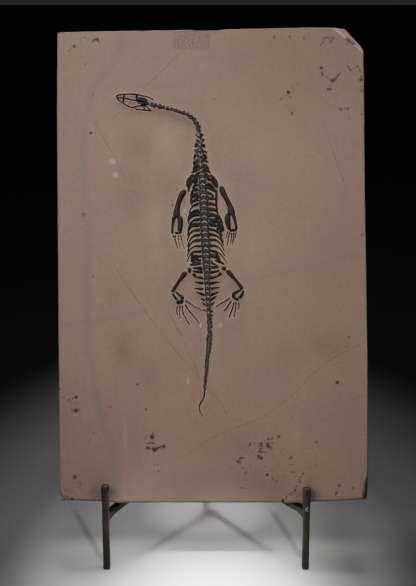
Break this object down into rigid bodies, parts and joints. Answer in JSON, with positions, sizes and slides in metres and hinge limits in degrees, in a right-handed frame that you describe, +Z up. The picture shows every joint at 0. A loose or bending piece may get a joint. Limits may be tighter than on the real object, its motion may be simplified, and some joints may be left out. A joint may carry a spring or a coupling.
{
  "type": "keichousaurus fossil plate",
  "caption": "Small fossil marine reptile in relief on a hand-cut mudstone slab, leaning back in a wrought-iron easel stand.",
  "frame": {"origin": "on the surface the stand's feet rest on, under the middle of the part's box", "axes": "+X to the right of a viewer who faces the fossil, +Y away from the viewer, +Z up"},
  "size_m": [0.2488, 0.1422, 0.4226],
  "materials": {
    "mudstone": "matt, finely grained brown mudstone with grey veins, hairline cracks and worn pale edges",
    "fossil_bone": "black mineralised bone with a soft sheen",
    "wrought_iron": "dark bronze-black hammered iron, satin"
  },
  "bodies": {
    "root": {"matrix_slab": "mudstone", "skull": "fossil_bone", "neck_vertebrae": "fossil_bone", "trunk_and_ribs": "fossil_bone", "tail_vertebrae": "fossil_bone", "shoulder_girdle_left": "fossil_bone", "humerus_left": "fossil_bone", "radius_left": "fossil_bone", "ulna_left": "fossil_bone", "carpus_left": "fossil_bone", "ilium_left": "fossil_bone", "femur_left": "fossil_bone", "tibia_left": "fossil_bone", "fibula_left": "fossil_bone", "tarsus_left": "fossil_bone", "finger_left_1": "fossil_bone", "finger_left_2": "fossil_bone", "finger_left_3": "fossil_bone", "finger_left_4": "fossil_bone", "finger_left_5": "fossil_bone", "toe_left_1": "fossil_bone", "toe_left_2": "fossil_bone", "toe_left_3": "fossil_bone", "toe_left_4": "fossil_bone", "toe_left_5": "fossil_bone", "shoulder_girdle_right": "fossil_bone", "humerus_right": "fossil_bone", "radius_right": "fossil_bone", "ulna_right": "fossil_bone", "carpus_right": "fossil_bone", "ilium_right": "fossil_bone", "femur_right": "fossil_bone", "tibia_right": "fossil_bone", "fibula_right": "fossil_bone", "tarsus_right": "fossil_bone", "finger_right_1": "fossil_bone", "finger_right_2": "fossil_bone", "finger_right_3": "fossil_bone", "finger_right_4": "fossil_bone", "finger_right_5": "fossil_bone", "toe_right_1": "fossil_bone", "toe_right_2": "fossil_bone", "toe_right_3": "fossil_bone", "toe_right_4": "fossil_bone", "toe_right_5": "fossil_bone", "front_post_left": "wrought_iron", "front_post_right": "wrought_iron", "support_arm_left": "wrought_iron", "support_arm_right": "wrought_iron", "rear_strut": "wrought_iron"}
  },
  "joints": []
}
